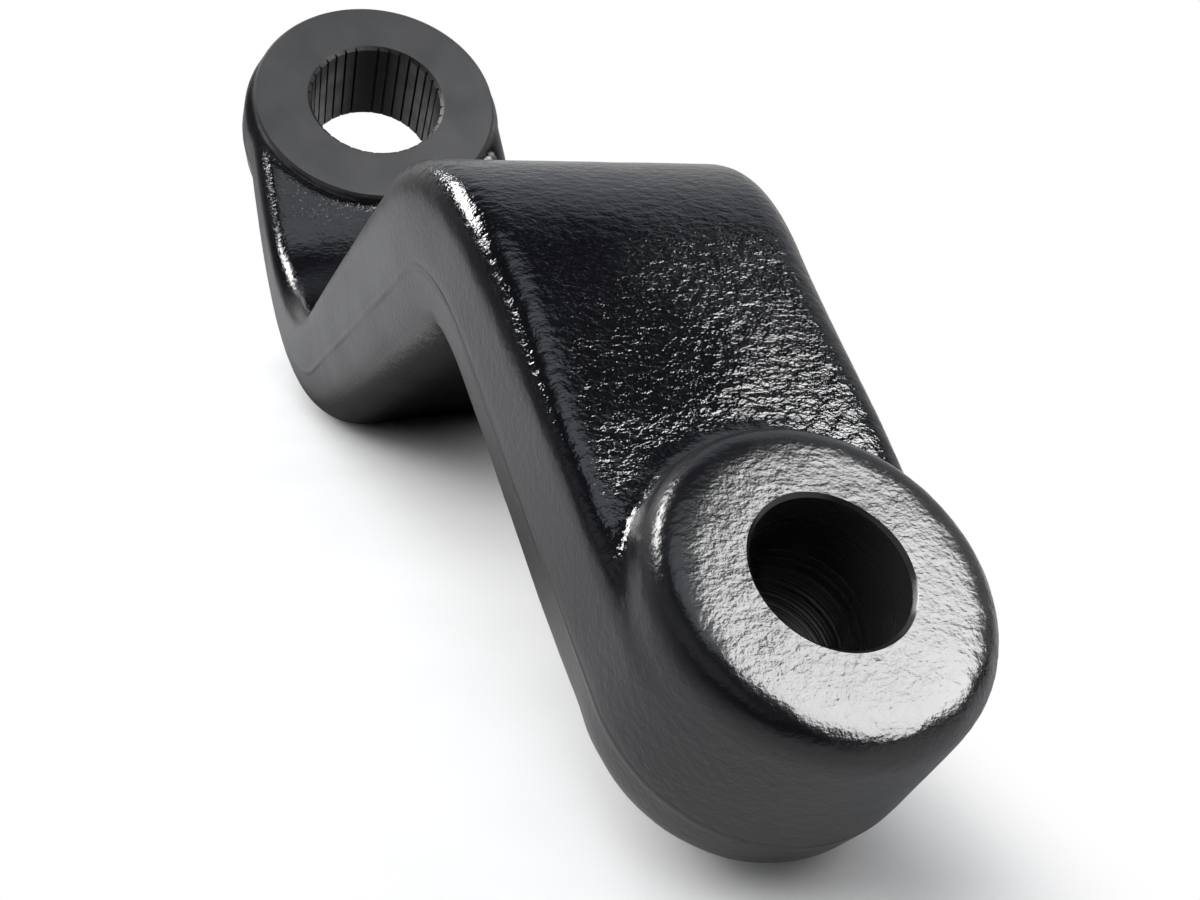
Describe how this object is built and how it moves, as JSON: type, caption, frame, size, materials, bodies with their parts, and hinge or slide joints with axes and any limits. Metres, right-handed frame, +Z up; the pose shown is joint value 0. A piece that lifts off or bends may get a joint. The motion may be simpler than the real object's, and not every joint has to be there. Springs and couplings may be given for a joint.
{
  "type": "pitman arm",
  "caption": "Forged steel drop pitman arm, bent twice, with a serrated sector bore in a wide machined boss and a tapered ball stud hole at its narrow end.",
  "frame": {"origin": "on the ground, below the middle of the bounding box, with the arm lying as it comes to rest on its lower bend and the foot of its drag link boss", "axes": "+Z up from the ground, +X from the sector end to the drag link end, +Y to the side, across the width of the arm"},
  "size_m": [0.2598, 0.063, 0.086],
  "materials": {
    "black_paint": "gloss"
  },
  "bodies": {
    "root": {"pitman_arm": "black_paint"}
  },
  "joints": []
}
